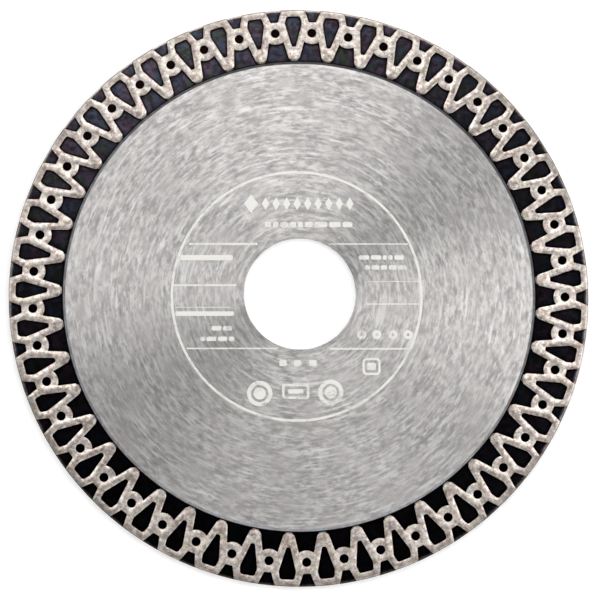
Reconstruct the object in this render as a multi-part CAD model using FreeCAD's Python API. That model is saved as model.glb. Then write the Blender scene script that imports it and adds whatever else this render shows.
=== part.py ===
import FreeCAD, Part

import math
import os

# Diamond blade for an angle grinder: a ground steel disc with a sintered rim whose faces carry a raised mesh.
# Millimetres. The origin is on the bore's axis, half way through the blade, and +Z points out of the front face.
#
# A cell is one repeat of the mesh. It is symmetric about a radial line, the first one about +X, and it holds,
# from the outside in, an edge notch, a boss with a dimple, and a bay between two legs. A closed wedge lies
# between two cells, so the rib that runs round it makes their arms above and a shared leg and toe below.
# Depths are measured from the cutting edge inwards, widths round the blade.

# driving sizes of the blade
BLADE_DIAMETER = 115.0
BORE_DIAMETER = 22.23
RIM_THICKNESS = 1.4
CORE_THICKNESS = 1.1
WEB_THICKNESS = 0.7
CELLS = 45

# steel core, and the dovetail teeth round its edge
CORE_FACE_RADIUS = 46.55
CORE_EDGE_CHAMFER = 0.2
BORE_CHAMFER = 0.1
TEETH = 15
TOOTH_ROOT_RADIUS = 46.9
TOOTH_HEIGHT = 1.0
TOOTH_ROOT_SHARE = 0.42
TOOTH_TIP_SHARE = 0.5

# rim, from the core outwards
BOND_RADIUS = 48.6
TOE_RADIUS = 47.18

# wedge, from its top inwards to its tip
WEDGE_TOP_DEPTH = 1.38
WEDGE_TOP_WIDTH = 2.7
WEDGE_SHOULDER_DEPTH = 2.85
WEDGE_SHOULDER_WIDTH = 3.34
WEDGE_TIP_DEPTH = 7.5
WEDGE_TIP_WIDTH = 0.64

# notch in the cutting edge
NOTCH_DEPTH = 2.49
NOTCH_FLOOR_WIDTH = 1.42
NOTCH_MOUTH_WIDTH = 3.3

# boss and its dimple, and the bay from the boss down to the toes
BOSS_DEPTH = 4.73
BOSS_RADIUS = 2.3
BOSS_FLAT_HALF_ANGLE = math.radians(17)
DIMPLE_DIAMETER = 1.78
DIMPLE_SIDES = 8
BAY_TOP_DEPTH = 6.6
BAY_TOP_WIDTH = 3.06
BAY_HEEL_DEPTH = 9.8
BAY_HEEL_WIDTH = 4.4
BAY_MOUTH_WIDTH = 5.7

BLADE_RADIUS = BLADE_DIAMETER / 2
BORE_RADIUS = BORE_DIAMETER / 2
RIM_TOP = RIM_THICKNESS / 2
CORE_TOP = CORE_THICKNESS / 2
WEB_TOP = WEB_THICKNESS / 2
CELL_ANGLE = 2 * math.pi / CELLS
CELL_LINES = [cell * CELL_ANGLE for cell in range(CELLS)]

CENTRE = FreeCAD.Vector(0, 0, 0)
X_AXIS = FreeCAD.Vector(1, 0, 0)
Z_AXIS = FreeCAD.Vector(0, 0, 1)


def polar(radius, angle):
    """A point on the blade's middle plane, at this radius and angle."""
    return FreeCAD.Vector(radius * math.cos(angle), radius * math.sin(angle), 0)


def closed(points):
    """A closed wire of straight edges."""
    return Part.makePolygon(points + points[:1])


def circle(radius):
    """A full circle about the blade's axis."""
    return Part.Wire(Part.makeCircle(radius, CENTRE, Z_AXIS))


def turned(profile):
    """A solid of revolution about the blade's axis, from the (radius, z) corners of its section."""
    section = closed([FreeCAD.Vector(radius, 0, z) for radius, z in profile])
    return Part.Face(section).revolve(CENTRE, Z_AXIS, 360)


def sheet(wires, bottom, top):
    """A flat solid between two heights, from its outline and the outlines of its openings."""
    face = Part.makeFace(Part.makeCompound(wires), "Part::FaceMakerBullseye")
    face.translate(Z_AXIS * bottom)
    return face.extrude(Z_AXIS * (top - bottom))


def about(line, half):
    """Both halves of an outline that is symmetric about a radial line, from (depth, width) pairs."""
    radii = [BLADE_RADIUS - depth for depth, width in half]
    turns = [width / 2 / radius for radius, (depth, width) in zip(radii, half)]
    before = [polar(radius, line - turn) for radius, turn in zip(radii, turns)]
    after = [polar(radius, line + turn) for radius, turn in zip(radii, turns)]
    return before + after[::-1]


def notch(line):
    """The notch in the cutting edge, from lip to lip."""
    return about(line, [
        (0, NOTCH_MOUTH_WIDTH),
        (NOTCH_DEPTH, NOTCH_FLOOR_WIDTH),
    ])


def cutting_edge():
    """The wire round the outside of the mesh: a notch in every cell, and arcs from each one to the next."""
    edges = []
    for line in CELL_LINES:
        points = notch(line)
        edges += [Part.LineSegment(a, b).toShape() for a, b in zip(points, points[1:])]
        half_way = polar(BLADE_RADIUS, line + CELL_ANGLE / 2)
        next_lip = notch(line + CELL_ANGLE)[0]
        edges.append(Part.Arc(points[-1], half_way, next_lip).toShape())
    return Part.Wire(edges)


def bay(line):
    """The bay: from a toe up the leg, round under the boss, and down the other leg to its toe."""
    boss_flat_depth = BOSS_DEPTH + BOSS_RADIUS * math.cos(BOSS_FLAT_HALF_ANGLE)
    boss_flat_width = 2 * BOSS_RADIUS * math.sin(BOSS_FLAT_HALF_ANGLE)
    return about(line, [
        (BLADE_RADIUS - TOE_RADIUS, BAY_MOUTH_WIDTH),
        (BAY_HEEL_DEPTH, BAY_HEEL_WIDTH),
        (BAY_TOP_DEPTH, BAY_TOP_WIDTH),
        (boss_flat_depth, boss_flat_width),
    ])


def wedge(line):
    """The closed wedge between two cells, with its tip towards the core."""
    return closed(about(line, [
        (WEDGE_TOP_DEPTH, WEDGE_TOP_WIDTH),
        (WEDGE_SHOULDER_DEPTH, WEDGE_SHOULDER_WIDTH),
        (WEDGE_TIP_DEPTH, WEDGE_TIP_WIDTH),
    ]))


def dimple(line):
    """The dimple in the boss, round in flats to keep the many cells light."""
    centre = polar(BLADE_RADIUS - BOSS_DEPTH, line)
    corners = [line + 2 * math.pi * (side + 0.5) / DIMPLE_SIDES for side in range(DIMPLE_SIDES)]
    return closed([centre + polar(DIMPLE_DIAMETER / 2, corner) for corner in corners])


def mesh():
    """The front relief: one pierced layer that stands on the web."""
    toes = closed([point for line in CELL_LINES for point in bay(line)])
    wedges = [wedge(line + CELL_ANGLE / 2) for line in CELL_LINES]
    dimples = [dimple(line) for line in CELL_LINES]
    return sheet([cutting_edge(), toes] + wedges + dimples, WEB_TOP, RIM_TOP)


def toothed_outline():
    """The dovetail teeth round the core, which lock the sintered rim to it."""
    pitch = 2 * math.pi / TEETH
    tip_radius = TOOTH_ROOT_RADIUS + TOOTH_HEIGHT
    points = []
    for tooth in range(TEETH):
        line = CELL_ANGLE / 2 + tooth * pitch
        root_turn = TOOTH_ROOT_SHARE * pitch / 2
        tip_turn = TOOTH_TIP_SHARE * pitch / 2
        points += [
            polar(TOOTH_ROOT_RADIUS, line - root_turn),
            polar(tip_radius, line - tip_turn),
            polar(tip_radius, line + tip_turn),
            polar(TOOTH_ROOT_RADIUS, line + root_turn),
        ]
    return closed(points)


def steel_core(teeth):
    """The steel disc: a bore with broken edges, ground faces with a chamfered edge, and thinner teeth beyond."""
    half = [
        (CORE_FACE_RADIUS, CORE_TOP - CORE_EDGE_CHAMFER),
        (CORE_FACE_RADIUS - CORE_EDGE_CHAMFER, CORE_TOP),
        (BORE_RADIUS + BORE_CHAMFER, CORE_TOP),
        (BORE_RADIUS, CORE_TOP - BORE_CHAMFER),
    ]
    disc = turned(half + [(radius, -z) for radius, z in reversed(half)])
    toothed_ring = sheet([teeth, circle(CORE_FACE_RADIUS - 2 * TOOTH_HEIGHT)], -WEB_TOP, WEB_TOP)
    return disc.fuse(toothed_ring)


def save(node, shape):
    """Write one piece to its own STEP file, after making sure that it is one sound solid."""
    if len(shape.Solids) != 1 or not shape.isValid():
        raise RuntimeError(node + " is not one sound solid")
    solid = shape.Solids[0]
    solid.exportStep("parts/" + node + ".step")
    print(node, round(solid.Volume, 1), "mm3")


os.makedirs("parts", exist_ok=True)

teeth = toothed_outline()
front_mesh = mesh()
back_mesh = front_mesh.copy()
back_mesh.rotate(CENTRE, X_AXIS, 180)
back_mesh.rotate(CENTRE, Z_AXIS, math.degrees(CELL_ANGLE / 2))

save("steel_core", steel_core(teeth))
save("bond_ring", sheet([circle(BOND_RADIUS), teeth], -WEB_TOP, WEB_TOP))
save("centre_web", sheet([circle(BLADE_RADIUS), circle(BOND_RADIUS)], -WEB_TOP, WEB_TOP))
save("front_mesh", front_mesh)
save("back_mesh", back_mesh)
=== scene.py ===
import math
import random
from collections import namedtuple

import bmesh
import bpy
from mathutils import Euler, Matrix, Vector
from mathutils.bvhtree import BVHTree
from mathutils.geometry import delaunay_2d_cdt


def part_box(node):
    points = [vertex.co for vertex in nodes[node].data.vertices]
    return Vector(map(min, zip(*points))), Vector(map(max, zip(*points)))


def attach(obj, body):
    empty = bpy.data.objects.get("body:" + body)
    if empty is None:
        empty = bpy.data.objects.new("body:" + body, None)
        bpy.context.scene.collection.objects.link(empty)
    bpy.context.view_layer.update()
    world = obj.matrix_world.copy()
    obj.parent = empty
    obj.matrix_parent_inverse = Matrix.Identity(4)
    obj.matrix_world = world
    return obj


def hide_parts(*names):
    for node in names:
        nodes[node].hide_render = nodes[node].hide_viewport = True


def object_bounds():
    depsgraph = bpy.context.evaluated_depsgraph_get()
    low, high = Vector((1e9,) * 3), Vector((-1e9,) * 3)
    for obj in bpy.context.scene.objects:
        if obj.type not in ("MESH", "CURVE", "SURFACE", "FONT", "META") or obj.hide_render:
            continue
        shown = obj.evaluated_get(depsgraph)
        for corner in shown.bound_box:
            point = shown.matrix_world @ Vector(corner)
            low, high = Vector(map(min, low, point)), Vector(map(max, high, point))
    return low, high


# Diamond blade for an angle grinder: the looks of its ground core, its black recesses, its sintered mesh rim
# with diamond grains in it, and the ink on its front. Everything is in metres, in the frame of the CAD parts.
#
# Outlines of the rim are written in a cell's own flat frame, as (distance round the blade from the cell's
# line, radius). Once bent round the blade, each loop runs with the ribs on its left, so that one way to inset
# it serves edges and openings alike.

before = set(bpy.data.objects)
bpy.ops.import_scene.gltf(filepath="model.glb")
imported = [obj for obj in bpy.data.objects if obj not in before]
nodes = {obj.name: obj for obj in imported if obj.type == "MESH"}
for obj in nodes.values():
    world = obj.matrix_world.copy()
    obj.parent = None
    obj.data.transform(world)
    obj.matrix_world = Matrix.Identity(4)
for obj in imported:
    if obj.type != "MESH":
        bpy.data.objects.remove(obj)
cad_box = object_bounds()

MM = 0.001

# heights and radii that the frame gives
core_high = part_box("steel_core")[1]
web_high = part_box("centre_web")[1]
mesh_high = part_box("front_mesh")[1]
CORE_TOP = core_high.z
WEB_TOP = web_high.z
RIM_TOP = mesh_high.z
BLADE_RADIUS = web_high.x
FLOOR = cad_box[0].z

# where the core's ground face ends and its thinner, coated teeth begin
CORE_FACE_RADIUS = 46.55 * MM

# rim cells: the sizes of the CAD parts, a little changed where rounded corners would alter the openings
CELLS = 45
CELL_ANGLE = 2 * math.pi / CELLS
TOE_RADIUS = 47.18 * MM
WEDGE_TOP_DEPTH = 1.38 * MM
WEDGE_TOP_WIDTH = 2.78 * MM
WEDGE_SHOULDER_DEPTH = 2.88 * MM
WEDGE_SHOULDER_WIDTH = 3.38 * MM
WEDGE_TIP_DEPTH = 7.56 * MM
WEDGE_TIP_WIDTH = 0.76 * MM
NOTCH_DEPTH = 2.49 * MM
NOTCH_FLOOR_WIDTH = 1.42 * MM
NOTCH_MOUTH_WIDTH = 3.3 * MM
BOSS_DEPTH = 4.73 * MM
BOSS_RADIUS = 2.3 * MM
DIMPLE_DIAMETER = 1.76 * MM
BAY_TOP_WIDTH = 2.94 * MM
BAY_HEEL_DEPTH = 9.6 * MM
BAY_HEEL_WIDTH = 4.3 * MM
TOE_CORNER_WIDTH = 4.6 * MM

# roundings of the cells' corners in plan, and the steps that curves are made in
NOTCH_LIP_ROUNDING = 0.12 * MM
NOTCH_FLOOR_ROUNDING = 0.22 * MM
TOE_ROUNDING = 0.85 * MM
BAY_HEEL_ROUNDING = 0.4 * MM
BAY_TOP_ROUNDING = 0.1 * MM
WEDGE_TOP_ROUNDING = 0.5 * MM
WEDGE_SHOULDER_ROUNDING = 1.0 * MM
WEDGE_TIP_ROUNDING = 0.34 * MM
CORNER_STEPS = 4
DIMPLE_SIDES = 24
BOSS_STEPS = 8
EDGE_STEPS = 3

# limits for moving a loop's sharp corners, and for cutting a top into triangles within its loops
SHARPEST_MITRE = 0.4
WITHIN_LOOPS = 1
SAME_POINT = 1e-9

# the ribs' walls from the web upwards: how far they stand in on the sides, how far at the toes' sloping ends,
# and their share of the ribs' height
WALL_PROFILE = [
    (-0.05 * MM, -0.12 * MM, -0.03),
    (-0.015 * MM, -0.03 * MM, 0.12),
    (0.015 * MM, 0.06 * MM, 0.75),
    (0.035 * MM, 0.15 * MM, 0.9),
    (0.09 * MM, 0.27 * MM, 1.0),
]
TOE_SLOPE_REACH = 0.3 * MM

# the cutting edge is dressed to a slight taper, and the grains stand a little proud of the ribs
DRESSED_WIDTH = 0.5 * MM
DRESSED_DROP = 0.1 * MM
CREASE_SHARE = 0.496
GRAIN_STAND = 0.035 * MM
RIB_TOP = RIM_TOP - GRAIN_STAND
EDGE_CLEARANCE = 0.01 * MM
LEVEL_TOLERANCE = 0.02 * MM
GRAINS_PER_SIDE = 1700
GRAIN_SHAPES = 6
GRAIN_CORNER = (0.3, 0.4)
GRAIN_SIZE = (0.16 * MM, 0.3 * MM)
GRAIN_STAND_SHARE = (0.3, 1.0)

# bead of bond metal that laps the core's edge: the radius and height of its inner edge, crest and outer edge
BEAD_STEPS = 270
BEAD_SECTION = [
    (46.36 * MM, CORE_TOP - 0.02 * MM),
    (46.78 * MM, CORE_TOP + 0.1 * MM),
    (46.92 * MM, WEB_TOP - 0.02 * MM),
]

# the blade lies with its print square to the viewer, a little off the line of the first cell
PRINT_TURN = math.radians(0.77)
INK_THICKNESS = 0.014 * MM
RHOMBI = 9
RHOMBUS_PITCH = 2.1 * MM

# where each finish begins and is complete, in millimetres from the bore's axis
# painted shade: a darker ring on the core round the bore
BORE_SHADE_BAND = (12.5, 11.7)
# painted highlight: a pale band on the core just inside its edge
CORE_EDGE_HIGHLIGHT_BAND = (45.5, 45.9)
BARE_TOE_END = (47.3, 47.15)
# painted shade: a darker band on the ribs inside the dressed cutting edge
CUTTING_EDGE_SHADE_BAND = (56.4, 56.7)
SMOOTH_RIM = (56.9, 57.05)
SUNKEN_FLOOR = (56.7, 57.4)
BARE_FLOOR = (57.15, 57.6)
# painted highlight: a paler band along the very cutting edge
CUTTING_EDGE_HIGHLIGHT_BAND = (57.2, 57.6)
BARE_RIM_WALL = (57.4, 57.46)

# the same from a boss's middle, and in height above the blade's middle plane
PALER_BOSS = (2.4, 1.7)
COATED_WALL = (0.66, 0.6)

# metal that was ground in circles round the bore
GRIND_ANISOTROPY = 0.78
GRIND_TURN = 0.25

# meshes are shaded smooth up to this angle
SHARP_ANGLE = math.radians(32)

CAMERA_LENS = 103.33
CAMERA_DISTANCE = 341.25 * MM
CAMERA_TILT = math.radians(6.04)
CAMERA_LEAN = math.radians(-1.74)
CAMERA_NOD = math.radians(-0.219)

# the middle of the studio's dark part, as a direction from the blade
DARK_WAY = (0.0, -0.2, 0.98)


# ---- rim outlines ----

def rounded(corners, closed=False):
    """The points of an outline of (offset, radius, rounding) corners, with an arc at each rounded one."""
    points = []
    count = len(corners)
    for index, (offset, radius, rounding) in enumerate(corners):
        corner = Vector((offset, radius))
        at_end = not closed and index in (0, count - 1)
        if at_end or rounding == 0:
            points.append(corner)
            continue
        before = (Vector(corners[index - 1][:2]) - corner).normalized()
        after = (Vector(corners[(index + 1) % count][:2]) - corner).normalized()
        half_angle = before.angle(after) / 2
        centre = corner + (before + after).normalized() * rounding / math.sin(half_angle)
        start = corner + before * rounding / math.tan(half_angle) - centre
        end = corner + after * rounding / math.tan(half_angle) - centre
        for step in range(CORNER_STEPS + 1):
            points.append(centre + start.lerp(end, step / CORNER_STEPS).normalized() * rounding)
    return points


def symmetric(half):
    """Corners on one side of a cell's line, from (depth, width, rounding), and then their mirror images."""
    first = [(-width / 2, BLADE_RADIUS - depth, rounding) for depth, width, rounding in half]
    second = [(-offset, radius, rounding) for offset, radius, rounding in reversed(first)]
    return first + second


def edge_outline():
    """The cutting edge over one cell: along the edge, down into the notch and out again."""
    pitch = CELL_ANGLE * BLADE_RADIUS
    widths = [pitch + (NOTCH_MOUTH_WIDTH - pitch) * step / EDGE_STEPS for step in range(EDGE_STEPS)]
    along_edge = [(0, width, 0) for width in widths]
    crease_width = NOTCH_MOUTH_WIDTH + (NOTCH_FLOOR_WIDTH - NOTCH_MOUTH_WIDTH) * DRESSED_WIDTH / NOTCH_DEPTH
    outline = rounded(symmetric(along_edge + [
        (0, NOTCH_MOUTH_WIDTH, NOTCH_LIP_ROUNDING),
        (DRESSED_WIDTH, crease_width, 0),
        (NOTCH_DEPTH, NOTCH_FLOOR_WIDTH, NOTCH_FLOOR_ROUNDING),
    ]))
    return outline[:-1]


def bay_outline():
    """The inner edge over one cell: from a toe up the leg, round under the boss and down to the next toe."""
    toe_depth = BLADE_RADIUS - TOE_RADIUS
    corner_turn = math.asin(BAY_TOP_WIDTH / 2 / BOSS_RADIUS)
    boss = []
    for step in range(BOSS_STEPS):
        turn = corner_turn * (1 - step / BOSS_STEPS)
        boss.append((BOSS_DEPTH + BOSS_RADIUS * math.cos(turn), 2 * BOSS_RADIUS * math.sin(turn), 0))
    boss[0] = (boss[0][0], BAY_TOP_WIDTH, BAY_TOP_ROUNDING)
    outline = rounded(symmetric([
        (toe_depth, CELL_ANGLE * TOE_RADIUS, 0),
        (toe_depth, TOE_CORNER_WIDTH, TOE_ROUNDING),
        (BAY_HEEL_DEPTH, BAY_HEEL_WIDTH, BAY_HEEL_ROUNDING),
    ] + boss))
    return outline[:-1]


def wedge_outline():
    """The closed wedge between two cells."""
    return rounded(symmetric([
        (WEDGE_TOP_DEPTH, WEDGE_TOP_WIDTH, WEDGE_TOP_ROUNDING),
        (WEDGE_SHOULDER_DEPTH, WEDGE_SHOULDER_WIDTH, WEDGE_SHOULDER_ROUNDING),
        (WEDGE_TIP_DEPTH, WEDGE_TIP_WIDTH, WEDGE_TIP_ROUNDING),
    ]), closed=True)


def dimple_outline():
    """The round dimple in a cell's boss, anticlockwise."""
    points = []
    for side in range(DIMPLE_SIDES):
        turn = 2 * math.pi * side / DIMPLE_SIDES
        radius = BLADE_RADIUS - BOSS_DEPTH + DIMPLE_DIAMETER / 2 * math.cos(turn)
        points.append(Vector((DIMPLE_DIAMETER / 2 * math.sin(turn), radius)))
    return points


def round_blade(outline, line):
    """An outline bent into place round the blade, about the cell line at this angle."""
    turns = [(radius, line + offset / radius) for offset, radius in outline]
    return [Vector((radius * math.cos(turn), radius * math.sin(turn))) for radius, turn in turns]


def rim_loops():
    """Every loop that bounds the ribs, each with the ribs on its left."""
    lines = [cell * CELL_ANGLE for cell in range(CELLS)]
    outer = [point for line in lines for point in round_blade(edge_outline(), line)]
    inner = [point for line in lines for point in round_blade(bay_outline(), line)]
    loops = [outer, inner[::-1]]
    for line in lines:
        loops.append(round_blade(wedge_outline(), line + CELL_ANGLE / 2))
        loops.append(round_blade(dimple_outline(), line)[::-1])
    return loops


def inset(loop, distances):
    """A loop with every point moved its own distance into the ribs, which lie on its left."""
    moved = []
    for before, point, after, distance in zip(loop[-1:] + loop[:-1], loop, loop[1:] + loop[:1], distances):
        left_ahead = (after - point).normalized().orthogonal()
        left_behind = (point - before).normalized().orthogonal()
        normal = (left_ahead + left_behind).normalized()
        moved.append(point + normal * distance / max(normal.dot(left_ahead), SHARPEST_MITRE))
    return moved


# ---- rim relief ----

def rib_top(radius):
    """The height of the ribs, level and then falling where the cutting edge is dressed."""
    dressed = max(0.0, radius - (BLADE_RADIUS - DRESSED_WIDTH)) / DRESSED_WIDTH
    return RIB_TOP - DRESSED_DROP * dressed


def rib_point(point, share):
    """A point of the relief over this plan point, this share of the way from the web to the ribs' top."""
    radius = min(point.length, BLADE_RADIUS - EDGE_CLEARANCE)
    plan = point.normalized() * radius
    return Vector((plan.x, plan.y, WEB_TOP + share * (rib_top(radius) - WEB_TOP)))


def at_toe_end(radius):
    """1 at the toes' ends, which slope down to the core, and 0 along every upright wall."""
    return max(0.0, min(1.0, 1 - (radius - TOE_RADIUS) / TOE_SLOPE_REACH))


def sides(triangle):
    """The three directed sides of a triangle."""
    a, b, c = triangle
    return [(a, b), (b, c), (c, a)]


def cap(points, loops, creases=()):
    """Triangles between loops of point numbers, with the ribs on each loop's left."""
    numbers = [number for line in [*loops, *creases] for number in line]
    order = {number: index for index, number in enumerate(numbers)}
    bounds = {(order[a], order[b]) for loop in loops for a, b in zip(loop, loop[1:] + loop[:1])}
    folds = [(order[a], order[b]) for crease in creases for a, b in zip(crease, crease[1:])]
    plan = [points[number].to_2d() for number in numbers]
    made = delaunay_2d_cdt(plan, [*bounds, *folds], [], WITHIN_LOOPS, SAME_POINT)
    made_triangles, made_from = made[2:4]
    sources = [source[0] for source in made_from]
    triangles = [tuple(sources[corner] for corner in triangle) for triangle in made_triangles]

    # a triangle on the left of a loop is inside, and so is every neighbour as far as the next loop
    owner = {side: triangle for triangle in triangles for side in sides(triangle)}
    waiting = [triangle for triangle in triangles if bounds.intersection(sides(triangle))]
    inside = set(waiting)
    while waiting:
        for a, b in sides(waiting.pop()):
            neighbour = owner.get((b, a))
            if (a, b) not in bounds and neighbour and neighbour not in inside:
                inside.add(neighbour)
                waiting.append(neighbour)
    return [tuple(numbers[corner] for corner in triangle) for triangle in triangles if triangle in inside]


def dressed_creases(points):
    """Numbers of new points along the line where the dressed taper starts, between one notch and the next."""
    radius = BLADE_RADIUS - DRESSED_WIDTH
    half_crease = CREASE_SHARE * (CELL_ANGLE - NOTCH_MOUTH_WIDTH / BLADE_RADIUS)
    creases = []
    for cell in range(CELLS):
        middle = (cell + 0.5) * CELL_ANGLE
        crease = []
        for step in range(2 * EDGE_STEPS + 1):
            turn = middle + half_crease * (step / EDGE_STEPS - 1)
            crease.append(len(points))
            points.append(rib_point(Vector((radius * math.cos(turn), radius * math.sin(turn))), 1.0))
        creases.append(crease)
    return creases


def relief():
    """One side's ribs as a closed surface: walls round every loop, a top and a base."""
    points = []
    faces = []
    base_loops = []
    top_loops = []
    for loop in rim_loops():
        rings = []
        for wall, toe_end, share in WALL_PROFILE:
            start = len(points)
            distances = [wall + (toe_end - wall) * at_toe_end(point.length) for point in loop]
            points += [rib_point(point, share) for point in inset(loop, distances)]
            rings.append(list(range(start, len(points))))
        for lower, upper in zip(rings, rings[1:]):
            for index in range(len(loop)):
                faces.append((lower[index - 1], lower[index], upper[index], upper[index - 1]))
        base_loops.append(rings[0])
        top_loops.append(rings[-1])
    faces += cap(points, top_loops, dressed_creases(points))
    faces += [triangle[::-1] for triangle in cap(points, base_loops)]
    return points, faces


def bond_bead():
    """A low bead of bond metal between the core's edge and the toes, as a closed ring."""
    points = []
    faces = []
    corners = len(BEAD_SECTION)
    for step in range(BEAD_STEPS):
        turn = 2 * math.pi * step / BEAD_STEPS
        for radius, height in BEAD_SECTION:
            points.append(Vector((radius * math.cos(turn), radius * math.sin(turn), height)))
        here = corners * step
        there = corners * ((step + 1) % BEAD_STEPS)
        for corner in range(corners):
            other = (corner + 1) % corners
            faces.append((here + corner, there + corner, there + other, here + other))
    return points, faces


# ---- diamond grains ----

def grain_shape(chance):
    """A blocky grain one unit across: an uneven cube whose corners are cut to the middles of its edges."""
    shape = bmesh.new()
    for axis in range(3):
        for u in (-1, 1):
            for v in (-1, 1):
                corner = [u, v]
                corner.insert(axis, 0)
                shape.verts.new([c * chance.uniform(*GRAIN_CORNER) for c in corner])
    bmesh.ops.convex_hull(shape, input=shape.verts)
    shape.verts.index_update()
    corners = [vert.co.copy() for vert in shape.verts]
    faces = [[vert.index for vert in face.verts] for face in shape.faces]
    shape.free()
    return corners, faces


def stands_on_rib(ribs, x, y, margin):
    """True where the ribs' level top lies under this place and under six places round it."""
    for step in range(7):
        reach = margin if step else 0.0
        turn = step * math.pi / 3
        start = Vector((x + reach * math.cos(turn), y + reach * math.sin(turn), 2 * RIM_TOP))
        hit = ribs.ray_cast(start, Vector((0, 0, -1)))[0]
        if hit is None or hit.z < RIB_TOP - LEVEL_TOLERANCE:
            return False
    return True


def grains(ribs, seed):
    """Grains set into the ribs, each turned its own way and standing a little proud of the top."""
    chance = random.Random(seed)
    shapes = [grain_shape(chance) for variant in range(GRAIN_SHAPES)]
    points = []
    faces = []
    placed = 0
    while placed < GRAINS_PER_SIDE:
        radius = math.sqrt(chance.uniform(TOE_RADIUS ** 2, BLADE_RADIUS ** 2))
        turn = chance.uniform(0, 2 * math.pi)
        size = chance.uniform(*GRAIN_SIZE)
        x = radius * math.cos(turn)
        y = radius * math.sin(turn)
        if not stands_on_rib(ribs, x, y, size / 2):
            continue
        corners, hull = chance.choice(shapes)
        spin = Euler([chance.uniform(0, math.pi) for axis in range(3)]).to_matrix()
        turned = [spin @ corner * size for corner in corners]
        top = RIB_TOP + GRAIN_STAND * chance.uniform(*GRAIN_STAND_SHARE)
        lift = top - max(corner.z for corner in turned)
        start = len(points)
        points += [corner + Vector((x, y, lift)) for corner in turned]
        faces += [[start + index for index in face] for face in hull]
        placed += 1
    return points, faces


# ---- print ----

def box_outline(x, y, width, height, rounding):
    """A rounded rectangle about this middle point, anticlockwise."""
    corners = [
        (x - width / 2, y - height / 2, rounding),
        (x + width / 2, y - height / 2, rounding),
        (x + width / 2, y + height / 2, rounding),
        (x - width / 2, y + height / 2, rounding),
    ]
    return rounded(corners, closed=True)


def circle_outline(x, y, radius, steps):
    """A circle about this middle point, anticlockwise."""
    turns = [2 * math.pi * step / steps for step in range(steps)]
    return [Vector((x + radius * math.cos(turn), y + radius * math.sin(turn))) for turn in turns]


class Ink:
    """Shapes of ink on the core's front face, gathered into one closed mesh for each piece."""

    def __init__(self):
        self.points = []
        self.faces = []

    def level(self, outline, height):
        """The numbers of new points over an outline, all at one height."""
        start = len(self.points)
        self.points += [Vector((point.x, point.y, height)) for point in outline]
        return list(range(start, len(self.points)))

    def solid(self, outline):
        """A filled shape."""
        low = self.level(outline, CORE_TOP - INK_THICKNESS / 2)
        high = self.level(outline, CORE_TOP + INK_THICKNESS)
        self.wall(low, high)
        self.faces += [high, low[::-1]]

    def band(self, outer, inner):
        """The shape between two outlines with as many points each."""
        outer_low = self.level(outer, CORE_TOP - INK_THICKNESS / 2)
        outer_high = self.level(outer, CORE_TOP + INK_THICKNESS)
        inner_low = self.level(inner, CORE_TOP - INK_THICKNESS / 2)
        inner_high = self.level(inner, CORE_TOP + INK_THICKNESS)
        self.wall(outer_low, outer_high)
        self.wall(outer_high, inner_high)
        self.wall(inner_high, inner_low)
        self.wall(inner_low, outer_low)

    def wall(self, first, second):
        """Faces between two loops of point numbers."""
        for index in range(len(first)):
            self.faces.append((first[index - 1], first[index], second[index], second[index - 1]))

    def bar(self, left, right, y, height):
        """A bar from one side to the other, with softly rounded ends."""
        self.solid(box_outline((left + right) / 2, y, right - left, height, 0.3 * height))

    def ring(self, x, y, radius, width, steps=48):
        """A ring line, with its middle at this radius."""
        outer = circle_outline(x, y, radius + width / 2, steps)
        self.band(outer, circle_outline(x, y, radius - width / 2, steps))

    def dashes(self, left, right, y, height, seed):
        """A row of short plain bars of uneven length, such as a caption makes from afar."""
        chance = random.Random(seed)
        gap = 0.35 * height
        while left < right - height:
            length = min(chance.uniform(0.8, 2.4) * height, right - left)
            self.bar(left, left + length, y, height)
            left += length + gap

    def piece(self, name, material):
        """The finished piece, turned with the print."""
        turn = Matrix.Rotation(PRINT_TURN, 3, "Z")
        return make_piece(name, [turn @ point for point in self.points], self.faces, material)


def printed_circle():
    """The thin circle round the print, which was printed a little off the bore's centre."""
    ink = Ink()
    ink.ring(-0.6 * MM, -0.4 * MM, 24.75 * MM, 0.5 * MM, steps=180)
    return ink


def printed_rules():
    """Thin rules on both sides of the bore, which part the fields of the print."""
    ink = Ink()
    # left end, right end, y and height, in millimetres
    rules = [
        (-22.0, -8.4, 9.9, 0.42),
        (5.9, 21.8, 9.9, 0.26),
        (-25.0, -12.6, 1.65, 0.36),
        (13.6, 23.6, 2.4, 0.16),
        (13.3, 23.6, -2.1, 0.24),
        (-24.6, -13.7, -2.75, 0.16),
        (-22.4, -4.4, -10.9, 0.28),
        (5.9, 21.6, -11.0, 0.34),
    ]
    for left, right, y, height in rules:
        ink.bar(left * MM, right * MM, y * MM, height * MM)
    return ink


def printed_bars():
    """Solid bars in place of the print's headings."""
    ink = Ink()
    ink.bar(-23.7 * MM, -13.3 * MM, 7.15 * MM, 1.05 * MM)
    ink.bar(-24.6 * MM, -13.1 * MM, -4.0 * MM, 0.9 * MM)
    return ink


def printed_captions():
    """Rows of dashes in place of the print's small lines."""
    ink = Ink()
    # left end, right end, y and height, in millimetres
    rows = [
        (-17.5, -12.5, -6.9, 0.9),
        (-19.7, -12.5, -9.0, 0.9),
        (11.7, 20.8, 7.2, 0.9),
        (12.9, 22.2, 5.2, 0.9),
        (-7.0, 10.5, 13.8, 1.1),
    ]
    for seed, (left, right, y, height) in enumerate(rows):
        ink.dashes(left * MM, right * MM, y * MM, height * MM, seed)
    return ink


def rhombus(x, y, width, height):
    """A rhombus that stands on its point, anticlockwise."""
    return [
        Vector((x - width / 2, y)),
        Vector((x, y - height / 2)),
        Vector((x + width / 2, y)),
        Vector((x, y + height / 2)),
    ]


def printed_ornament():
    """A large rhombus and a row of small ones in place of the print's title."""
    ink = Ink()
    y = 18.0 * MM
    ink.solid(rhombus(-9.7 * MM, y, 2.8 * MM, 3.8 * MM))
    for index in range(RHOMBI):
        ink.solid(rhombus(-6.8 * MM + RHOMBUS_PITCH * index, y, 1.5 * MM, 2.6 * MM))
    return ink


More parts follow.
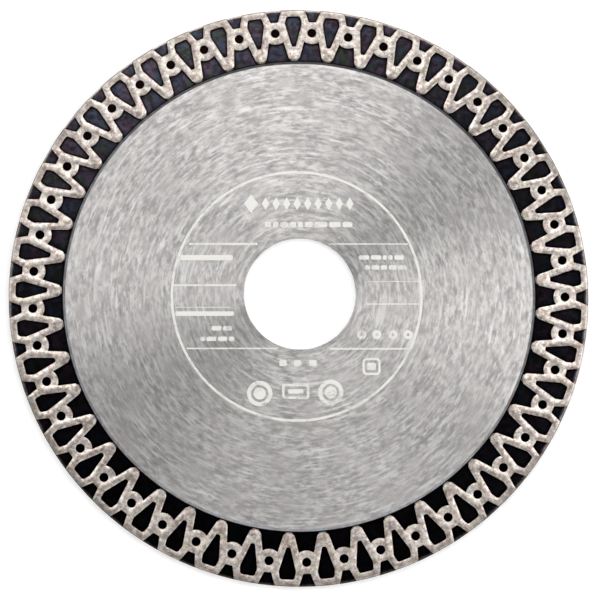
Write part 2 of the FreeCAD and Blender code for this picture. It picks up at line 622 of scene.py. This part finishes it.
def printed_marks():
    """Squares, rings, discs and a framed bar in place of the print's pictograms."""
    ink = Ink()
    for x in (-3.4, -0.5, 2.5):
        ink.solid(box_outline(x * MM, -13.8 * MM, 1.5 * MM, 1.2 * MM, 0.25 * MM))
    for x in (12.2, 15.2, 18.4, 21.4):
        ink.ring(x * MM, -8.2 * MM, 0.6 * MM, 0.65 * MM, steps=24)
    for x, y in ((-8.0, -19.8), (6.0, -19.6)):
        ink.ring(x * MM, y * MM, 2.1 * MM, 0.8 * MM)
        ink.solid(circle_outline(x * MM, y * MM, 1.2 * MM, steps=24))
    ink.band(
        box_outline(-0.9 * MM, -19.4 * MM, 5.4 * MM, 3.0 * MM, 0.6 * MM),
        box_outline(-0.9 * MM, -19.4 * MM, 4.4 * MM, 2.0 * MM, 0.3 * MM),
    )
    ink.bar(-2.4 * MM, 0.6 * MM, -19.4 * MM, 0.9 * MM)
    ink.band(
        box_outline(14.1 * MM, -14.5 * MM, 3.6 * MM, 3.4 * MM, 0.8 * MM),
        box_outline(14.1 * MM, -14.5 * MM, 2.7 * MM, 2.5 * MM, 0.5 * MM),
    )
    ink.solid(box_outline(14.1 * MM, -14.5 * MM, 1.7 * MM, 1.5 * MM, 0.3 * MM))
    return ink


# ---- colours ----

def srgb(red, green, blue):
    """A colour from its 0 to 255 screen values."""
    shares = [value / 255 for value in (red, green, blue)]
    linear = [s / 12.92 if s <= 0.04045 else ((s + 0.055) / 1.055) ** 2.4 for s in shares]
    return (*linear, 1.0)


def grey(level):
    """A neutral colour at this level of light."""
    return (level, level, level, 1.0)


STEEL_SHADE = srgb(170, 167, 167)
STEEL_SHINE = srgb(223, 220, 217)
STEEL_GLINT = srgb(250, 248, 246)
STEEL_SCRATCH = srgb(140, 137, 136)
STEEL_CLOUD = srgb(202, 199, 197)
# painted highlight near the core's edge
STEEL_EDGE_HIGHLIGHT = srgb(255, 253, 251)
# painted shade round the bore
STEEL_BORE_SHADE = srgb(104, 100, 99)

CREAM_INK = srgb(238, 237, 231)

COAT_PLUM = srgb(62, 52, 64)
COAT_BLUE = srgb(44, 51, 64)
COAT_GREEN = srgb(46, 53, 48)
COAT_DARK = srgb(34, 30, 34)
# painted shade: the brown-black that darkens the recesses by their walls and in the dimples
COAT_PAINTED_SHADE = srgb(10, 5, 4)
COAT_WORN = srgb(150, 140, 132)

MATRIX_ROSE = srgb(227, 205, 200)
MATRIX_SAND = srgb(235, 227, 203)
MATRIX_BLUSH = srgb(211, 207, 208)
MATRIX_DARK_BLOTCH = srgb(156, 141, 134)
MATRIX_PALE_BLOTCH = srgb(252, 246, 238)
MATRIX_BOSS = srgb(255, 248, 241)
MATRIX_SPECKLE = srgb(186, 171, 163)
MATRIX_STROKE = srgb(246, 240, 234)
MATRIX_PIT = srgb(104, 92, 84)
# painted shade near the cutting edge
MATRIX_EDGE_SHADE = srgb(164, 152, 144)
# painted highlight along the cutting edge
MATRIX_EDGE_HIGHLIGHT = srgb(222, 213, 204)
MATRIX_DARK_SMUDGE = srgb(122, 108, 100)
MATRIX_PALE_SMUDGE = srgb(255, 252, 246)
MATRIX_WALL = srgb(20, 12, 11)

BOND_WARM = srgb(112, 108, 108)
BOND_COOL = srgb(131, 135, 141)
BOND_GRAIN = srgb(84, 79, 77)

GRIT_YELLOW = srgb(206, 200, 150)
GRIT_PALE = srgb(236, 232, 214)
GRIT_HAZE = srgb(150, 142, 112)

FLOOR_PAINT = grey(0.65)
FLOOR_GLOW = grey(1.0)
LOW_SKY = grey(1.0)
HIGH_SKY = (0.3, 0.3, 0.31, 1.0)
DARK_SKY = grey(0.01)
BACKDROP = grey(0.71)


# ---- material tools ----

Place = namedtuple("Place", "spot x y z radius")


def add(tree, kind, inputs=None, **settings):
    """A new shader node: sockets among the inputs are linked, and anything else is set as a value."""
    node = tree.nodes.new(kind)
    for name, value in settings.items():
        setattr(node, name, value)
    for name, value in (inputs or {}).items():
        if isinstance(value, bpy.types.NodeSocket):
            tree.links.new(value, node.inputs[name])
        else:
            node.inputs[name].default_value = value
    return node


def new_material(name):
    """A material with an empty node tree."""
    material = bpy.data.materials.new(name)
    material.use_nodes = True
    material.node_tree.nodes.clear()
    return material, material.node_tree


def finish_material(tree, surface, **constants):
    """Close a tree with its surface shader, and set the values that are the same all over."""
    for name, value in constants.items():
        surface.inputs[name.replace("_", " ")].default_value = value
    output = add(tree, "ShaderNodeOutputMaterial")
    tree.links.new(surface.outputs[0], output.inputs["Surface"])


def calculate(tree, operation, first, second=0.0):
    """One step of arithmetic on numbers."""
    return add(tree, "ShaderNodeMath", {0: first, 1: second}, operation=operation).outputs[0]


def scaled(tree, value, factor):
    """A number times a constant or another number."""
    return calculate(tree, "MULTIPLY", value, factor)


def flat_length(tree, x, y):
    """The length of a flat vector."""
    squares = calculate(tree, "ADD", scaled(tree, x, x), scaled(tree, y, y))
    return calculate(tree, "SQRT", squares)


def ramp(tree, value, start, end):
    """A smooth rise from 0 at the start value to 1 at the end value, which may be the lower one."""
    inputs = {"Value": value, "From Min": start, "From Max": end}
    return add(tree, "ShaderNodeMapRange", inputs, interpolation_type="SMOOTHSTEP").outputs[0]


def mixed(tree, share, first, second):
    """A number between two others."""
    return add(tree, "ShaderNodeMix", {0: share, 2: first, 3: second}, data_type="FLOAT").outputs[0]


def blended(tree, share, first, second):
    """A colour between two others."""
    return add(tree, "ShaderNodeMix", {0: share, 6: first, 7: second}, data_type="RGBA").outputs[2]


def noise(tree, vector, scale, detail=2.0, roughness=0.5):
    """Noise from 0 to 1 at this many features to the millimetre."""
    inputs = {"Vector": vector, "Scale": scale, "Detail": detail, "Roughness": roughness}
    return add(tree, "ShaderNodeTexNoise", inputs).outputs["Fac"]


def bump(tree, height, strength, depth):
    """A bumped normal from a pattern of heights, with its depth in millimetres."""
    inputs = {"Height": height, "Strength": strength, "Distance": depth * MM}
    return add(tree, "ShaderNodeBump", inputs).outputs[0]


def radial_tangent(tree):
    """The tangent that makes ground metal catch the light in fans about the bore."""
    return add(tree, "ShaderNodeTangent", direction_type="RADIAL", axis="Z").outputs[0]


def place(tree):
    """Where a point lies on the blade, in millimetres: the spot, its x, y and z, and its radius."""
    texture = add(tree, "ShaderNodeTexCoord").outputs["Object"]
    spot = add(tree, "ShaderNodeVectorMath", {0: texture, "Scale": 1 / MM}, operation="SCALE").outputs[0]
    x, y, z = add(tree, "ShaderNodeSeparateXYZ", {0: spot}).outputs
    return Place(spot, x, y, z, flat_length(tree, x, y))


def from_boss(tree, at):
    """How far a point lies from the middle of the nearest boss on its own side, in millimetres."""
    half_cell = CELL_ANGLE / 2
    front = calculate(tree, "GREATER_THAN", at.z, 0.0)
    line = calculate(tree, "ADD", calculate(tree, "ARCTAN2", at.y, at.x), scaled(tree, front, half_cell))
    turn = calculate(tree, "SUBTRACT", calculate(tree, "FLOORED_MODULO", line, CELL_ANGLE), half_cell)
    across = scaled(tree, turn, at.radius)
    along = calculate(tree, "SUBTRACT", at.radius, (BLADE_RADIUS - BOSS_DEPTH) / MM)
    return flat_length(tree, across, along)


def shut_in(tree, reach):
    """1 in the open, and less towards a corner that walls within this many millimetres shut in."""
    return add(tree, "ShaderNodeAmbientOcclusion", {"Distance": reach * MM}, samples=16).outputs["AO"]


def grind_lines(tree, at, width, length, detail=2.0):
    """Noise drawn out round the bore, in strokes of this width and length in millimetres."""
    inputs = {
        "X": scaled(tree, at.x, 1 / length),
        "Y": scaled(tree, at.y, 1 / length),
        "Z": scaled(tree, at.radius, 1 / width),
    }
    vector = add(tree, "ShaderNodeCombineXYZ", inputs).outputs[0]
    return noise(tree, vector, 1.0, detail=detail, roughness=0.6)


# ---- materials ----

def steel_look(tree, at):
    """Colour, roughness and bump of steel that was ground flat in circles, with a painted highlight near the
    core's edge and painted shade round the bore.
    """
    hairs = grind_lines(tree, at, width=0.3, length=2.5)
    fine = grind_lines(tree, at, width=0.9, length=2.0)
    coarse = grind_lines(tree, at, width=1.6, length=4.0)
    scratches = grind_lines(tree, at, width=0.6, length=1.7)
    arcs = grind_lines(tree, at, width=0.5, length=7.0, detail=0.0)
    clouds = noise(tree, at.spot, 0.16, detail=3.0)
    strokes = mixed(tree, 0.45, fine, coarse)

    bright = ramp(tree, mixed(tree, 0.2, strokes, hairs), 0.37, 0.63)
    light_scratches = scaled(tree, ramp(tree, scratches, 0.53, 0.66), 0.45)
    light_arcs = scaled(tree, ramp(tree, arcs, 0.58, 0.78), 0.6)
    dark_scratches = scaled(tree, ramp(tree, scratches, 0.47, 0.34), 0.5)
    # painted highlight: a pale band just inside the core's edge
    painted_core_edge_highlight = scaled(tree, ramp(tree, at.radius, *CORE_EDGE_HIGHLIGHT_BAND), 0.1)
    # painted shade: a darker ring round the bore
    painted_bore_shade = scaled(tree, ramp(tree, at.radius, *BORE_SHADE_BAND), 0.14)
    colour = blended(tree, bright, STEEL_SHADE, STEEL_SHINE)
    colour = blended(tree, light_scratches, colour, STEEL_GLINT)
    colour = blended(tree, light_arcs, colour, STEEL_GLINT)
    colour = blended(tree, dark_scratches, colour, STEEL_SCRATCH)
    colour = blended(tree, ramp(tree, clouds, 0.3, 0.95), colour, STEEL_CLOUD)
    colour = blended(tree, painted_core_edge_highlight, colour, STEEL_EDGE_HIGHLIGHT)
    colour = blended(tree, painted_bore_shade, colour, STEEL_BORE_SHADE)

    roughness = mixed(tree, ramp(tree, strokes, 0.3, 0.7), 0.51, 0.43)
    scratched = calculate(tree, "ADD", strokes, scaled(tree, hairs, 0.3))
    return colour, roughness, bump(tree, scratched, strength=0.4, depth=0.03)


def ground_steel():
    """The core's finish, which fans the light out from the bore."""
    material, tree = new_material("ground_steel")
    colour, roughness, normal = steel_look(tree, place(tree))
    surface = add(tree, "ShaderNodeBsdfPrincipled", {
        "Base Color": colour,
        "Roughness": roughness,
        "Normal": normal,
        "Tangent": radial_tangent(tree),
    })
    finish_material(tree, surface, Metallic=1.0, Anisotropic=GRIND_ANISOTROPY,
                    Anisotropic_Rotation=GRIND_TURN)
    return material


def cream_ink(name, bare, full):
    """Cream ink that lets the grind through where its uneven cover is thin, between these two levels."""
    material, tree = new_material(name)
    at = place(tree)
    steel, steel_roughness, normal = steel_look(tree, at)
    strokes = grind_lines(tree, at, width=0.18, length=0.7)
    patches = noise(tree, at.spot, 0.35, detail=3.0)
    cover = ramp(tree, calculate(tree, "ADD", strokes, scaled(tree, patches, 0.8)), bare, full)
    surface = add(tree, "ShaderNodeBsdfPrincipled", {
        "Base Color": blended(tree, cover, steel, CREAM_INK),
        "Metallic": mixed(tree, cover, 1.0, 0.0),
        "Roughness": mixed(tree, cover, steel_roughness, 0.55),
        "Normal": normal,
    })
    finish_material(tree, surface)
    return material


def recess_coat():
    """Blued-black finish in the recesses: painted brown-black shade by the walls and in the dimples, and bare
    at the edge.
    """
    material, tree = new_material("recess_coat")
    at = place(tree)
    mottle = noise(tree, at.spot, 1.1, detail=4.0)
    tint = noise(tree, at.spot, 0.22, detail=1.0)
    other_tint = noise(tree, at.spot, 0.3, detail=1.0)
    grain = noise(tree, at.spot, 9.0)
    colour = blended(tree, ramp(tree, tint, 0.4, 0.6), COAT_PLUM, COAT_BLUE)
    colour = blended(tree, ramp(tree, other_tint, 0.52, 0.66), colour, COAT_GREEN)
    colour = blended(tree, ramp(tree, mottle, 0.32, 0.66), COAT_DARK, colour)

    # painted shade: the floor turns brown-black where walls shut it in, and over the dimples
    unshaded_floor = ramp(tree, shut_in(tree, 1.0), 0.8, 0.985)
    dimple_radius = DIMPLE_DIAMETER / 2 / MM
    beyond_dimple = ramp(tree, from_boss(tree, at), dimple_radius, dimple_radius + 0.1)
    unshaded_floor = scaled(tree, unshaded_floor, beyond_dimple)
    colour = blended(tree, unshaded_floor, COAT_PAINTED_SHADE, colour)

    worn_line = calculate(tree, "ADD", at.radius, scaled(tree, mottle, 0.35))
    bare = ramp(tree, worn_line, *BARE_FLOOR)
    sunken = scaled(tree, ramp(tree, at.radius, *SUNKEN_FLOOR), -6.0)
    surface = add(tree, "ShaderNodeBsdfPrincipled", {
        "Base Color": blended(tree, bare, colour, COAT_WORN),
        "Metallic": mixed(tree, bare, 1.0, 0.8),
        "Roughness": mixed(tree, ramp(tree, grain, 0.3, 0.7), 0.17, 0.24),
        "Normal": bump(tree, calculate(tree, "ADD", grain, sunken), strength=0.8, depth=0.02),
    })
    finish_material(tree, surface)
    return material


def matrix_colour(tree, at, speckle, pitted):
    """The ribs' tops: warm and mottled, paler on the bosses, with painted shade near the cutting edge and a
    painted highlight along it.
    """
    clouds = noise(tree, at.spot, 0.8, detail=3.0)
    blush = noise(tree, at.spot, 0.45)
    blotches = noise(tree, at.spot, 1.3)
    smudges = noise(tree, at.spot, 0.95, detail=3.0, roughness=0.6)
    strokes = grind_lines(tree, at, width=0.15, length=0.9)
    colour = blended(tree, ramp(tree, clouds, 0.38, 0.62), MATRIX_ROSE, MATRIX_SAND)
    colour = blended(tree, ramp(tree, blush, 0.45, 0.7), colour, MATRIX_BLUSH)
    colour = blended(tree, ramp(tree, blotches, 0.3, 0.56), MATRIX_DARK_BLOTCH, colour)
    colour = blended(tree, ramp(tree, blotches, 0.52, 0.64), colour, MATRIX_PALE_BLOTCH)

    # the ribs turn paler towards each boss's middle
    paler_boss = scaled(tree, ramp(tree, from_boss(tree, at), *PALER_BOSS), 0.35)
    colour = blended(tree, paler_boss, colour, MATRIX_BOSS)
    colour = blended(tree, ramp(tree, speckle, 0.3, 0.6), MATRIX_SPECKLE, colour)
    colour = blended(tree, ramp(tree, strokes, 0.62, 0.75), colour, MATRIX_STROKE)
    colour = blended(tree, pitted, MATRIX_PIT, colour)

    edge_line = calculate(tree, "ADD", at.radius, scaled(tree, speckle, 0.4))
    # painted shade: the ribs darken towards the dressed cutting edge
    painted_cutting_edge_shade = scaled(tree, ramp(tree, edge_line, *CUTTING_EDGE_SHADE_BAND), 0.55)
    colour = blended(tree, painted_cutting_edge_shade, colour, MATRIX_EDGE_SHADE)
    # painted highlight: the ribs turn paler right at the cutting edge
    colour = blended(tree, ramp(tree, edge_line, *CUTTING_EDGE_HIGHLIGHT_BAND), colour, MATRIX_EDGE_HIGHLIGHT)

    dark_smudge = scaled(tree, ramp(tree, smudges, 0.48, 0.34), 0.45)
    pale_smudge = scaled(tree, ramp(tree, smudges, 0.52, 0.66), 0.45)
    colour = blended(tree, dark_smudge, colour, MATRIX_DARK_SMUDGE)
    return blended(tree, pale_smudge, colour, MATRIX_PALE_SMUDGE)


def coated_wall(tree, at, speckle):
    """1 where the recesses' black coat climbs the ribs' walls, and 0 on their tops and bare ends."""
    height = calculate(tree, "ABSOLUTE", at.z)
    coat_line = calculate(tree, "ADD", height, scaled(tree, speckle, 0.06))
    low = ramp(tree, coat_line, *COATED_WALL)
    bare_rim = ramp(tree, at.radius, *BARE_RIM_WALL)
    bare_toe = ramp(tree, at.radius, *BARE_TOE_END)
    bare = calculate(tree, "MAXIMUM", bare_rim, bare_toe)
    return scaled(tree, low, calculate(tree, "SUBTRACT", 1.0, bare))


def sintered_matrix():
    """Pale sintered metal, ground like the core: mottled and pitted on top, and black on its walls."""
    material, tree = new_material("sintered_matrix")
    at = place(tree)
    speckle = noise(tree, at.spot, 5.5, detail=3.0, roughness=0.65)
    pitted = ramp(tree, noise(tree, at.spot, 7.5, detail=1.0), 0.27, 0.35)
    coated = coated_wall(tree, at, speckle)
    on_top = mixed(tree, speckle, 0.36, 0.5)
    surface = add(tree, "ShaderNodeBsdfPrincipled", {
        "Base Color": blended(tree, coated, matrix_colour(tree, at, speckle, pitted), MATRIX_WALL),
        "Metallic": mixed(tree, coated, 0.82, 1.0),
        "Roughness": mixed(tree, ramp(tree, at.radius, *SMOOTH_RIM), on_top, 0.34),
        "Normal": bump(tree, calculate(tree, "ADD", speckle, pitted), strength=0.45, depth=0.03),
        "Tangent": radial_tangent(tree),
    })
    finish_material(tree, surface, Anisotropic=GRIND_ANISOTROPY, Anisotropic_Rotation=GRIND_TURN)
    return material


def squeezed_bond():
    """Bare bond metal: a cool grey, finely grained."""
    material, tree = new_material("squeezed_bond")
    at = place(tree)
    clouds = noise(tree, at.spot, 0.9, detail=3.0)
    grain = noise(tree, at.spot, 8.0)
    colour = blended(tree, ramp(tree, clouds, 0.35, 0.65), BOND_WARM, BOND_COOL)
    surface = add(tree, "ShaderNodeBsdfPrincipled", {
        "Base Color": blended(tree, ramp(tree, grain, 0.3, 0.5), BOND_GRAIN, colour),
        "Roughness": mixed(tree, grain, 0.3, 0.5),
        "Normal": bump(tree, grain, strength=0.3, depth=0.02),
    })
    finish_material(tree, surface, Metallic=0.9)
    return material


def diamond_grit():
    """Pale yellow-green industrial diamond, each grain of its own shade."""
    material, tree = new_material("diamond_grit")
    at = place(tree)
    shade = noise(tree, at.spot, 1.9, detail=1.0)
    haze = noise(tree, at.spot, 12.0)
    colour = blended(tree, ramp(tree, shade, 0.35, 0.65), GRIT_YELLOW, GRIT_PALE)
    surface = add(tree, "ShaderNodeBsdfPrincipled", {
        "Base Color": blended(tree, ramp(tree, haze, 0.3, 0.8), GRIT_HAZE, colour),
        "Roughness": mixed(tree, haze, 0.08, 0.3),
    })
    finish_material(tree, surface, IOR=2.0)
    return material


def pale_floor():
    """A floor that shows as white to the viewer and in the metal, and still takes the blade's shadow."""
    material, tree = new_material("pale_floor")
    path = add(tree, "ShaderNodeLightPath")
    seen = calculate(tree, "MAXIMUM", path.outputs["Is Camera Ray"], path.outputs["Is Glossy Ray"])
    seen = calculate(tree, "MAXIMUM", seen, path.outputs["Is Transmission Ray"])
    surface = add(tree, "ShaderNodeBsdfPrincipled", {"Emission Strength": scaled(tree, seen, 0.5)})
    finish_material(tree, surface, Base_Color=FLOOR_PAINT, Roughness=0.8, Specular_IOR_Level=0.0,
                    Emission_Color=FLOOR_GLOW)
    return material


# ---- pieces ----

def make_piece(name, points, faces, material):
    """A smooth mesh object that rides with the blade, with sharp edges kept where faces meet at an angle."""
    mesh = bpy.data.meshes.new(name)
    mesh.from_pydata([tuple(point) for point in points], [], faces)
    mesh.polygons.foreach_set("use_smooth", [True] * len(mesh.polygons))
    mesh.set_sharp_from_angle(angle=SHARP_ANGLE)
    mesh.materials.append(material)
    piece = bpy.data.objects.new(name, mesh)
    bpy.context.scene.collection.objects.link(piece)
    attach(piece, "root")
    return piece


def turned_over(points):
    """The front relief's points on the back of the blade, half a cell round."""
    turn = Matrix.Rotation(CELL_ANGLE / 2, 3, "Z") @ Matrix.Rotation(math.pi, 3, "X")
    return [turn @ point for point in points]


def build_rim():
    """Both sides' ribs in place of the CAD meshes, and their bond beads and grains."""
    points, faces = relief()
    ribs = BVHTree.FromPolygons(points, faces)
    matrix = sintered_matrix()
    grit = diamond_grit()
    front = make_piece("front_ribs", points, faces, matrix)
    back = make_piece("back_ribs", turned_over(points), faces, matrix)
    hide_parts("front_mesh")
    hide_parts("back_mesh")
    points, faces = bond_bead()
    bond = squeezed_bond()
    for name, ring in (("front_bond_bead", points), ("back_bond_bead", turned_over(points))):
        make_piece(name, ring, faces, bond)
    points, faces = grains(ribs, seed=11)
    make_piece("front_diamond_grains", points, faces, grit)
    points, faces = grains(ribs, seed=12)
    make_piece("back_diamond_grains", turned_over(points), faces, grit)


def build_print():
    """The print on the front of the core, in inks that cover more or less."""
    ink = cream_ink("cream_ink", bare=0.5, full=0.96)
    bold_ink = cream_ink("bold_cream_ink", bare=0.34, full=0.75)
    worn_ink = cream_ink("worn_cream_ink", bare=0.44, full=1.0)
    printed_circle().piece("printed_circle", ink)
    printed_rules().piece("printed_rules", ink)
    printed_bars().piece("printed_bars", bold_ink)
    printed_captions().piece("printed_captions", worn_ink)
    printed_ornament().piece("printed_ornament", bold_ink)
    printed_marks().piece("printed_marks", ink)


def finish_cad_nodes():
    """The core and the recess floors keep their CAD shapes and get their finishes here."""
    coat = recess_coat()
    for name in ("centre_web", "bond_ring"):
        nodes[name].data.materials.clear()
        nodes[name].data.materials.append(coat)
    core = nodes["steel_core"].data
    core.materials.clear()
    core.materials.append(ground_steel())
    core.materials.append(coat)
    for face in core.polygons:
        nearest = min(core.vertices[number].co.to_2d().length for number in face.vertices)
        face.material_index = 1 if nearest > CORE_FACE_RADIUS - EDGE_CLEARANCE else 0


# ---- studio ----

def build_floor():
    """The floor under the blade, wide enough to fill every view."""
    reach = 6.0
    corners = [(-reach, -reach, FLOOR), (reach, -reach, FLOOR), (reach, reach, FLOOR), (-reach, reach, FLOOR)]
    mesh = bpy.data.meshes.new("floor")
    mesh.from_pydata(corners, [], [(0, 1, 2, 3)])
    mesh.materials.append(pale_floor())
    floor = bpy.data.objects.new("floor", mesh)
    bpy.context.scene.collection.objects.link(floor)


def build_world():
    """A plain studio: white low down, dimmer overhead, and dark over the blade's printed face."""
    world = bpy.data.worlds.new("studio")
    world.use_nodes = True
    tree = world.node_tree
    tree.nodes.clear()
    direction = add(tree, "ShaderNodeTexCoord").outputs["Generated"]
    height = add(tree, "ShaderNodeSeparateXYZ", {0: direction}).outputs["Z"]
    both = {0: direction, 1: DARK_WAY}
    nearness = add(tree, "ShaderNodeVectorMath", both, operation="DOT_PRODUCT").outputs["Value"]
    colour = blended(tree, ramp(tree, height, 0.1, 0.6), LOW_SKY, HIGH_SKY)
    colour = blended(tree, ramp(tree, nearness, 0.76, 0.93), colour, DARK_SKY)
    seen = add(tree, "ShaderNodeLightPath").outputs["Is Camera Ray"]
    colour = blended(tree, seen, colour, BACKDROP)
    background = add(tree, "ShaderNodeBackground", {"Color": colour, "Strength": 1.0})
    output = add(tree, "ShaderNodeOutputWorld")
    tree.links.new(background.outputs[0], output.inputs["Surface"])
    bpy.context.scene.world = world


def build_lamp(name, azimuth, elevation, distance, size, brightness):
    """A square softbox aimed at the blade, in degrees and metres, as bright as it makes a white surface."""
    lamp = bpy.data.lights.new(name, "AREA")
    lamp.shape = "SQUARE"
    lamp.size = size
    lamp.energy = brightness * math.pi ** 2 * distance ** 2
    turn = math.radians(azimuth)
    rise = math.radians(elevation)
    way = Vector((math.cos(turn) * math.cos(rise), math.sin(turn) * math.cos(rise), math.sin(rise)))
    holder = bpy.data.objects.new(name, lamp)
    holder.location = way * distance
    holder.rotation_euler = way.to_track_quat("Z", "Y").to_euler()
    bpy.context.scene.collection.objects.link(holder)


def build_camera():
    """The viewer's camera, nearly straight above the blade and turned with its print."""
    camera = bpy.data.cameras.new("camera")
    camera.lens = CAMERA_LENS
    camera.clip_start = 0.01
    holder = bpy.data.objects.new("camera", camera)
    turn = Matrix.Translation((0, 0, RIB_TOP)) @ Matrix.Rotation(PRINT_TURN, 4, "Z")
    tilt = Matrix.Rotation(CAMERA_TILT, 4, "X") @ Matrix.Rotation(CAMERA_LEAN, 4, "Y")
    reach = Matrix.Translation((0, 0, CAMERA_DISTANCE)) @ Matrix.Rotation(CAMERA_NOD, 4, "X")
    holder.matrix_world = turn @ tilt @ reach
    bpy.context.scene.collection.objects.link(holder)
    bpy.context.scene.camera = holder


build_camera()
build_floor()
build_world()
build_lamp("overhead_softbox", azimuth=113, elevation=63, distance=0.5, size=0.16, brightness=0.14)
build_lamp("top_softbox", azimuth=76, elevation=52, distance=0.45, size=0.22, brightness=0.22)
build_lamp("right_softbox", azimuth=5, elevation=46, distance=0.5, size=0.3, brightness=0.34)
build_lamp("left_softbox", azimuth=166, elevation=48, distance=0.6, size=0.28, brightness=0.135)
build_lamp("front_softbox", azimuth=298, elevation=40, distance=0.5, size=0.2, brightness=0.09)
build_lamp("corner_softbox", azimuth=247, elevation=38, distance=0.5, size=0.12, brightness=0.06)
bpy.context.scene.view_settings.view_transform = "Standard"

finish_cad_nodes()
build_rim()
build_print()
